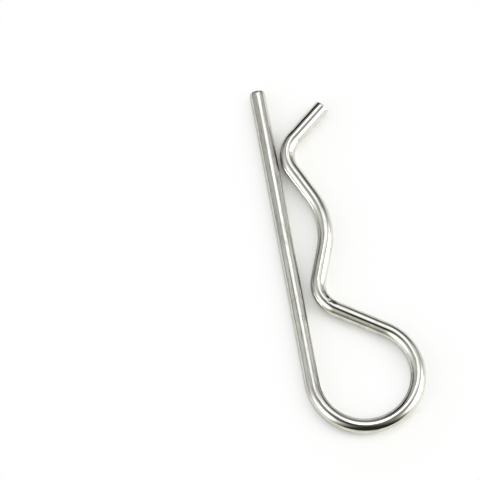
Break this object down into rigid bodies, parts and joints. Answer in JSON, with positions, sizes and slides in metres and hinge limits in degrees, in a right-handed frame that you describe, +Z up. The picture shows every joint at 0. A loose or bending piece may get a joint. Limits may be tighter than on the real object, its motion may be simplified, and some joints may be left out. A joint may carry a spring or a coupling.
{
  "type": "hitch r clip pin",
  "caption": "Bent spring-wire R clip with a straight leg, a round eye and a waved arm that ends in a flare, for locking a drilled shaft or pin.",
  "frame": {"origin": "on the axis of the straight leg, at the middle of the shaft that the seat in the arm grips, and at mid-height of the wire", "axes": "+X along the leg towards the eye, +Y from the leg towards the arm, +Z up, square to the flat clip and along the gripped shaft's own axis"},
  "size_m": [0.0971, 0.0315, 0.004],
  "materials": {
    "wire": "bright drawn spring wire, smooth and shiny, with faint marks along its length"
  },
  "bodies": {
    "root": {"wire_clip": "wire"}
  },
  "joints": []
}
